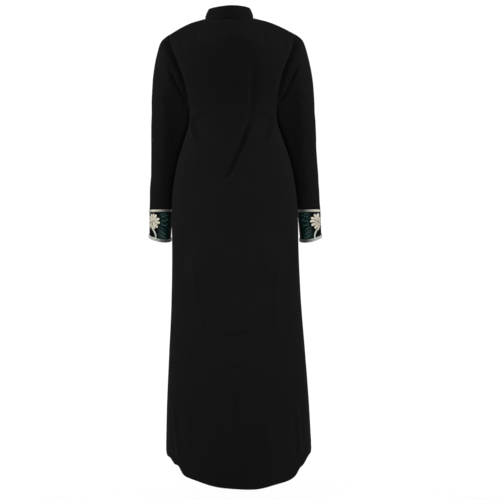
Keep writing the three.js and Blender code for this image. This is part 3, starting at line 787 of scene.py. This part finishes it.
def makeSleeve(side, name, node):
    keys = [armholeRing(side)]
    for *section, share, drop in sleeve["sections"]:
        ring = sectionRing(section, side, sleeve["around"], 0, sleeve["fallAway"] * share)
        keys.append(ring - (0, 0, drop * (side < 0)))
    keys = np.stack(keys)
    grid = evenRings(keys, sleeve["rings"])
    outward = grid - grid.mean(1, keepdims=True)
    normals = gridNormals(grid, True, outward)
    cut = ringCut(grid)
    run, rise = cut[:, :-1, 0], cut[:, :-1, 1]
    height = creaseHeight(grid, normals, sleeveBackCreases[side], 1)
    frontCreases = sleeveFrontCreases if side > 0 else [mirrored(crease) for crease in sleeveFrontCreases]
    height += creaseHeight(grid, normals, frontCreases, -1)
    turn, wide, (tall, size) = turns(sleeve["around"]), sleeve["rippleRound"], sleeve["ripple"]
    level = wide * np.sin(turn) + 500 + 0 * rise
    height += tall * softNoise(level, rise + wide * np.cos(turn), size, 51 + side)
    fromCuff = rise[-1] - rise
    height *= smooth(0, sleeve["calm"][0], rise) * smooth(0, sleeve["calm"][1], fromCuff)
    height -= sleeve["cuffDip"][0] * np.exp(-(fromCuff / sleeve["cuffDip"][1]) ** 2)
    pull = armholePull(grid, grid[[0], :, 2] + 0 * rise, rise, side, seams["sleeveSpread"])
    grid = grid + normals * height[..., None] + pull
    made = gridMesh(name, grid, cut, black, True, outward)
    return thicken(placePiece(made, node), body["wall"])


sleeves = {1: makeSleeve(1, "leftSleeve", "sleeve_left"), -1: makeSleeve(-1, "rightSleeve", "sleeve_right")}
print("sleeves made")

# stand collar
collar = dict(
    backHeight=42.5,
    sideHeight=26,
    frontHeight=33,
    topCurve=0.9,
    taperX=0.87,  # the top edge is this share of the neckline
    taperY=0.9,
    bow=1.5,
    opening=1.2,  # between the front ends, whose top corners are rounded
    corner=14,
    rounding=0.3,
    stitch=(5.0, 0.35, 0.9),  # from the top edge, its depth and width
    ripple=(0.35, 34),
    columns=(60, 121),  # along each front half and along the back
    rows=18,
    wall=1.6,
)


def makeCollar():
    backRow, frontRow = panelRows(1)[-1:], panelRows(-1)[-1:]
    start = math.asin(collar["opening"] / 2 / frontRow[0, 0]) / (math.pi / 2)
    frontPlaces = np.linspace(start, 1, collar["columns"][0])
    base = np.concatenate([
        rowPoints(frontRow, -frontPlaces, -1)[0][:-1],
        rowPoints(backRow, np.linspace(-1, 1, collar["columns"][1]), 1)[0],
        rowPoints(frontRow, frontPlaces[::-1], -1)[0][1:],
    ])
    turned = np.abs(np.arctan2(base[:, 0], base[:, 1]))
    middle = np.where(turned < math.pi / 2, collar["backHeight"], collar["frontHeight"])
    toMiddle = np.abs(np.cos(turned)) ** collar["topCurve"]
    full = collar["sideHeight"] + (middle - collar["sideHeight"]) * toMiddle
    toEnd = np.where(turned > math.pi / 2, np.abs(base[:, 0]) - collar["opening"] / 2, collar["corner"])
    corner = np.clip(toEnd / collar["corner"], 0, 1)
    tall = full * (1 - collar["rounding"] + collar["rounding"] * np.sqrt(corner * (2 - corner)))
    crown = base * (collar["taperX"], collar["taperY"], 1)
    crown[:, 2] += tall
    place = np.linspace(0, 1, collar["rows"] + 1)[:, None, None]
    level = unit(base * (1, 1, 0))
    grid = base + (crown - base) * place + level * collar["bow"] * np.sin(place * math.pi)
    outward = np.broadcast_to(level, grid.shape)
    normals = gridNormals(grid, False, outward)
    run, rise = lengthsAlong(grid, 1), lengthsAlong(grid, 0)
    (tall, size), (stitchAt, stitchDeep, stitchWide) = collar["ripple"], collar["stitch"]
    height = tall * softNoise(run, rise, size, 71) * smooth(0, 8, rise)
    height -= stitchDeep * np.exp(-((rise[-1] - rise - stitchAt) / stitchWide) ** 2)
    dip = seams["sink"] * np.exp(-(rise / seams["spread"]) ** 2)
    grid = grid + normals * height[..., None] + towards(grid, seams["neckMiddle"]) * dip[..., None]
    made = gridMesh("standCollar", grid, np.stack([run, rise], -1), black, False, outward)
    return thicken(placePiece(made, "collar"), collar["wall"])


collarPiece = makeCollar()
print("collar made")

# cuffs, their piping and their embroidery
cuff = dict(
    top=(260.5, -567.3, 190, -567.3, -61, 44),
    hem=(262, -649, 197, -662, -61, 43),
    backDrop=9,
    rightDrop=4,
    around=192,
    rows=30,
    wall=1.4,
    # piping: distance from the band's top or hem, height, depth, plies' pitch and strength of twist
    topCords=[(1.6, 4.2, 2.6, 9.0, 0.10), (5.2, 1.7, 1.5, 5.0, 0.08)],
    hemCords=[(7.4, 4.2, 2.6, 9.0, 0.10), (2.7, 4.6, 2.8, 9.0, 0.10)],
    plies=3,
    cordShade=(1.05, 1.2, 2.2),  # at the outer edge, how much painted shade darkens it further in, and how much painted shade and highlight mark the plies
    cordShadeInward=(40, 82),  # painted shade: the cords darken between these distances round from the outer edge, towards the body
    cordRound=14,
    cordSteps=300,
    fineSteps=720,  # round the cuff, to find places on it
)


def cuffRings(side, count):
    return sectionRing(cuff["top"], side, count), sectionRing(cuff["hem"], side, count, cuff["backDrop"])


def cuffLines():
    # the left cuff's top, hem and the line midway, and the length walked round that line
    top, hem = cuffRings(1, cuff["fineSteps"])
    middle = (top + hem) / 2
    return top, hem, middle, lengthsAlong(np.concatenate([middle, middle[:1]]), 0)


def onCuff(side, around, down, lift):
    # a point of the cuff: around from its outer edge towards the back, down from its top, and out
    top, hem, middle, walk = cuffLines()
    count = len(top)
    spot = np.interp(np.mod(around, walk[-1]), walk, np.arange(count + 1))

    def ringPoint(ring, place):
        first = np.floor(place).astype(int)
        part = (place - first)[..., None]
        return ring[first % count] * (1 - part) + ring[(first + 1) % count] * part

    upper, lower = ringPoint(top, spot), ringPoint(hem, spot)
    tall = np.linalg.norm(lower - upper, axis=-1, keepdims=True)
    point = upper + (lower - upper) * (np.asarray(down)[..., None] / tall)
    along = ringPoint(middle, np.mod(spot + 1, count)) - ringPoint(middle, np.mod(spot - 1, count))
    normal = unit(np.cross(along, lower - upper))
    normal = normal * np.sign(np.sum(normal * (point - middle.mean(0)), -1, keepdims=True))
    point = point + normal * np.asarray(lift)[..., None]
    return point * (side, 1, 1) - (0, 0, cuff["rightDrop"] * (side < 0))


def cuffHeight(around):
    top, hem, _, walk = cuffLines()
    talls = np.linalg.norm(hem - top, axis=1)
    return np.interp(np.mod(around, walk[-1]), walk, np.append(talls, talls[0]))


def makeCuff(side, name, node):
    top, hem = cuffRings(side, cuff["around"])
    place = np.linspace(0, 1, cuff["rows"] + 1)[:, None, None]
    grid = top + (hem - top) * place - (0, 0, cuff["rightDrop"] * (side < 0))
    outward = grid - grid.mean(1, keepdims=True)
    cut = ringCut(grid)
    total = cut[:, -1:, 0]
    cut[..., 0] = np.where(cut[..., 0] > total / 2, cut[..., 0] - total, cut[..., 0])
    made = gridMesh(name, grid, cut, cuffCloth, True, outward)
    return thicken(placePiece(made, node), cuff["wall"])


def cordRing(side, fromHem, far, tall, deep, pitch, twist):
    # one twisted cord round the cuff, this far from its top or its hem
    girth = cuffLines()[3][-1]
    around = np.arange(cuff["cordSteps"])[:, None] / cuff["cordSteps"] * girth
    angle = turns(cuff["cordRound"])
    lobes = 1 + twist * np.cos(cuff["plies"] * angle + around * round(girth / pitch) * 2 * math.pi / girth)
    level = cuffHeight(around) - far if fromHem else far
    down = level + tall / 2 * lobes * np.cos(angle)
    points = onCuff(side, around + 0 * down, down, deep / 2 * (1 + lobes * np.sin(angle)))
    fromOuter = np.abs(np.mod(around + girth / 2, girth) - girth / 2)
    full, inwardShade, plyShade = cuff["cordShade"]
    # painted shade: darker round towards the body, darker in the grooves between the plies and lighter on
    # their crests
    shade = full - inwardShade * smooth(*cuff["cordShadeInward"], fromOuter) + plyShade * (lobes - 1)
    return points, np.stack([around + 0 * down, angle * tall / 2 + 0 * down], -1), shade


def makeTrim(side, name, node, fromHem, thread):
    parts = [cordRing(side, fromHem, *cord) for cord in cuff["hemCords" if fromHem else "topCords"]]
    return placePiece(joinedMesh(name, side, parts, True, sewn[thread]), node)


embroidery = dict(
    # flower: around, down, radius; the first lies behind the outer edge, the second on the front
    flowers=[(37, 35, 26), (-58, 38, 25)],
    # rings of petals: how many, from and to as shares of the radius, width, rise and shades; a petal's dark
    # foot is partly a darker thread and partly painted shade where the next ring of petals covers it
    petals=[(12, 0.36, 1.0, 7.8, 1.4, (0.2, 1.0)), (10, 0.28, 0.74, 6.2, 2.4, (0.1, 1.0)),
            (8, 0.12, 0.50, 5.2, 3.3, (0.1, 0.95)), (5, 0.02, 0.26, 4.2, 4.0, (0.1, 0.8))],
    petalShadow=0.22,  # the lower petals are this much darker
    petalTurn=0.05,  # how unevenly the petals turn, bend, reach and catch the light
    petalBend=0.08,
    petalReach=(0.92, 1.04),
    petalTone=(0.94, 1.06),
    stems=[[(37, 56), (43, 64), (49, 74), (50, 86)], [(-60, 60), (-67, 68), (-70, 77), (-69, 86)]],
    stemWidth=5.2,
    stemRise=1.3,
    stemShade=(0.8, 1.0),
    # a spray of leaves: around, down, length, angle below level and width
    leaves=[
        (57, 52, 28, 27, 3.6),
        (56, 59, 31, 33, 3.8),
        (56, 66, 30, 26, 3.6),
        (55, 72, 31, 30, 3.8),
        (56, 80, 30, 14, 3.4),
        (66, 86, 22, -4, 3.0),
        (64, 47, 22, 8, 4.0),
        (63, 38, 20, -14, 3.4),
        (64, 27, 20, -30, 3.2),
        (76, 38, 15, -36, 2.8),
        (74, 22, 17, -22, 3.0),
        (80, 30, 12, 14, 2.6),
        (62, 16, 15, -16, 2.6),
    ],
    leafSag=0.1,
    leafRise=1.0,
    leafTone=(0.3, 0.8),
    # small knots among the leaves: around and down
    knots=[(68, 19), (71, 31), (69, 42), (80, 24), (84, 44), (77, 12)],
    knot=2.6,
    knotRise=1.1,
    knotShade=(1.1, 1.1),
    frontShift=(28, 2),  # the front's spray lies this much further round and lower
    thinnest=0.12,
    padSteps=(9, 7),  # along and across each stitched shape
)
# half widths along a stitched shape, from its foot at 0 to its tip at 1
padShapes = dict(
    petal=lambda u: (0.5 + 0.5 * smooth(0, 0.7, u)) * np.sqrt(np.clip(1 - u ** 7, 0, 1)),
    leaf=lambda u: np.sin(math.pi * np.clip(u, 0.02, 0.98)) ** 0.8,
    stem=lambda u: 0.8 + 0.2 * np.sin(math.pi * u),
)


def satinPad(side, spine, width, rise, shade, shape):
    # a raised shape of satin stitches along a spine of (around, down) points
    long, wide = embroidery["padSteps"]
    u = np.linspace(0, 1, long)[:, None]
    v = np.linspace(-1, 1, wide)
    line = throughRows(spine, u[:, 0])
    step = unit(np.gradient(line, axis=0))
    across = np.column_stack([-step[:, 1], step[:, 0]])
    half = np.maximum(width / 2 * padShapes[shape](u), embroidery["thinnest"])
    spots = line[:, None] + across[:, None] * (half * v)[..., None]
    dome = np.sqrt(np.clip(1 - v ** 2, 0, 1)) * (0.35 + 0.65 * smooth(0, 0.25, u) * smooth(0, 0.2, 1 - u))
    points = onCuff(side, spots[..., 0], spots[..., 1], 0.15 + rise * dome)
    cut = np.stack([lengthsAlong(line, 0)[:, None] + 0 * v, half * v], -1)
    return points, cut, shade[0] + (shade[1] - shade[0]) * u + 0 * v


def flowerPads(side, around, down, radius):
    pads = []
    for count, inside, outside, width, rise, shade in embroidery["petals"]:
        offset = chance.uniform(0, 2 * math.pi / count)
        for k in range(count):
            angle = offset + k * 2 * math.pi / count + chance.normal(0, embroidery["petalTurn"])
            foot, tip = radius * inside, radius * outside * chance.uniform(*embroidery["petalReach"])
            bend = chance.normal(0, embroidery["petalBend"])
            spine = [(around + reach * math.cos(angle + bend * t), down + reach * math.sin(angle + bend * t))
                     for reach, t in ((foot, 0), ((foot + tip) / 2, 0.5), (tip, 1))]
            lower = 1 - embroidery["petalShadow"] * max(0, math.sin(angle))
            tone = [lower * each * chance.uniform(*embroidery["petalTone"]) for each in shade]
            pads.append(satinPad(side, spine, width, rise, tone, "petal"))
    return pads


def sprayPads(side, facing):
    # facing 1 is the back of the cuff and -1 its front
    shift = (0, 0) if facing > 0 else embroidery["frontShift"]
    pads = []
    for around, down, long, angle, wide in embroidery["leaves"]:
        lean = math.radians(angle)
        foot = np.array([facing * (around + shift[0]), down + shift[1]], float)
        step = np.array([facing * math.cos(lean), math.sin(lean)]) * long
        spine = [foot, foot + step * 0.5 - (0, embroidery["leafSag"] * long), foot + step]
        shade = (0.0, chance.uniform(*embroidery["leafTone"]))
        pads.append(satinPad(side, spine, wide, embroidery["leafRise"], shade, "leaf"))
    for around, down in embroidery["knots"]:
        spot = np.array([facing * (around + shift[0]), down + shift[1]], float)
        half = np.array([embroidery["knot"] / 2, 0])
        look = embroidery["knot"], embroidery["knotRise"], embroidery["knotShade"], "stem"
        pads.append(satinPad(side, [spot - half, spot, spot + half], *look))
    return pads


def makeEmbroidery(side, hand):
    flowers = sum((flowerPads(side, *flower) for flower in embroidery["flowers"]), [])
    look = embroidery["stemWidth"], embroidery["stemRise"], embroidery["stemShade"], "stem"
    stems = [satinPad(side, stem, *look) for stem in embroidery["stems"]]
    leaves = sprayPads(side, 1) + sprayPads(side, -1)
    kinds = dict(Flowers=("creamThread", flowers), Stems=("sageThread", stems), Leaves=("tealThread", leaves))
    return [placePiece(joinedMesh(hand + kind, side, pads, False, sewn[thread]))
            for kind, (thread, pads) in kinds.items()]


cuffs, trims, stitched = {}, {}, {}
for side, hand in ((1, "left"), (-1, "right")):
    cuffs[side] = makeCuff(side, f"{hand}Cuff", f"cuff_{hand}")
    trims[side] = [
        makeTrim(side, f"{hand}TopPiping", f"trim_top_{hand}", False, "creamCord"),
        makeTrim(side, f"{hand}HemPiping", f"trim_hem_{hand}", True, "sageCord"),
    ]
    stitched[side] = makeEmbroidery(side, hand)
print("cuffs, piping and embroidery made")

# studio
studio = dict(
    middle=(-0.0438, -0.693),  # x and z that the camera looks at
    distance=3.8,
    lean=0.95,  # degrees
    width=1.5,  # of the picture, at the garment's middle
    sensor=36,
    floorDrop=0.25,
    floorRadius=1.3,
    floorSides=96,
    floorGlow=0.12,
    worldLight=0.08,
    backdrop=1.05,
    aim=(0, 0, -0.5),
    # where a soft box hangs, its size and its power
    boxes=[
        ((1.7, 0.2, 0.6), 0.9, 27),
        ((-1.7, 0.2, 0.6), 0.9, 27),
        ((0.0, 1.15, -0.72), 0.5, 9),
        ((0.0, 1.2, 2.0), 1.2, 15),
        ((0.8, -2.2, 0.5), 1.3, 24),
        ((-0.8, -2.2, 0.5), 1.3, 24),
    ],
)


def makeCamera():
    lens = bpy.data.cameras.new("camera")
    lens.sensor_width = studio["sensor"]
    lens.lens = studio["sensor"] * studio["distance"] / studio["width"]
    made = bpy.data.objects.new("camera", lens)
    lean = math.radians(studio["lean"])
    across = (-math.cos(lean), 0, -math.sin(lean))
    up = (-math.sin(lean), 0, math.cos(lean))
    x, z = studio["middle"]
    columns = (across, up, (0, 1, 0), (x, studio["distance"], z))
    made.matrix_world = Matrix([[*(column[k] for column in columns)] for k in range(3)] + [[0, 0, 0, 1]])
    bpy.context.scene.collection.objects.link(made)
    bpy.context.scene.camera = made


def makeLights():
    for k, (place, size, power) in enumerate(studio["boxes"]):
        light = bpy.data.lights.new(f"softBox{k}", "AREA")
        light.shape, light.size, light.energy = "SQUARE", size, power
        made = bpy.data.objects.new(f"softBox{k}", light)
        made.location = place
        aim = Vector(studio["aim"]) - made.location
        made.rotation_euler = aim.to_track_quat("-Z", "Y").to_euler()
        made.visible_camera = False
        bpy.context.scene.collection.objects.link(made)


def makeWorld():
    world = bpy.data.worlds.new("studio")
    bpy.context.scene.world = world
    world.use_nodes = True
    nodes, links = world.node_tree.nodes, world.node_tree.links
    sky = nodes["Background"]
    ray = nodes.new("ShaderNodeLightPath")
    level = nodes.new("ShaderNodeMapRange")
    links.new(ray.outputs["Is Camera Ray"], level.inputs[0])
    level.inputs[3].default_value = studio["worldLight"]
    level.inputs[4].default_value = studio["backdrop"]
    sky.inputs["Color"].default_value = (1, 1, 1, 1)
    links.new(level.outputs[0], sky.inputs["Strength"])


def makeFloor():
    finish = Finish("paleFloor", Base_Color=(0.9, 0.9, 0.9, 1), Roughness=0.9, Specular_IOR_Level=0.1,
                    Emission_Color=(1, 1, 1, 1), Emission_Strength=studio["floorGlow"])
    finish.feed(finish.shader.inputs["Roughness"], 0.85 + finish.noise(finish.place(), 3.0) * 0.1)
    turn = turns(studio["floorSides"])
    low = (packBox[0].z - studio["floorDrop"]) / mm
    rim = studio["floorRadius"] / mm
    points = np.column_stack([rim * np.cos(turn), rim * np.sin(turn), low + 0 * turn])
    face = np.arange(len(turn))[None, :]
    meshObject("floor", points, face, points[:, :2], finish.material)


makeCamera()
makeLights()
makeWorld()
makeFloor()
bpy.context.scene.view_settings.view_transform = "Standard"
print("studio made")
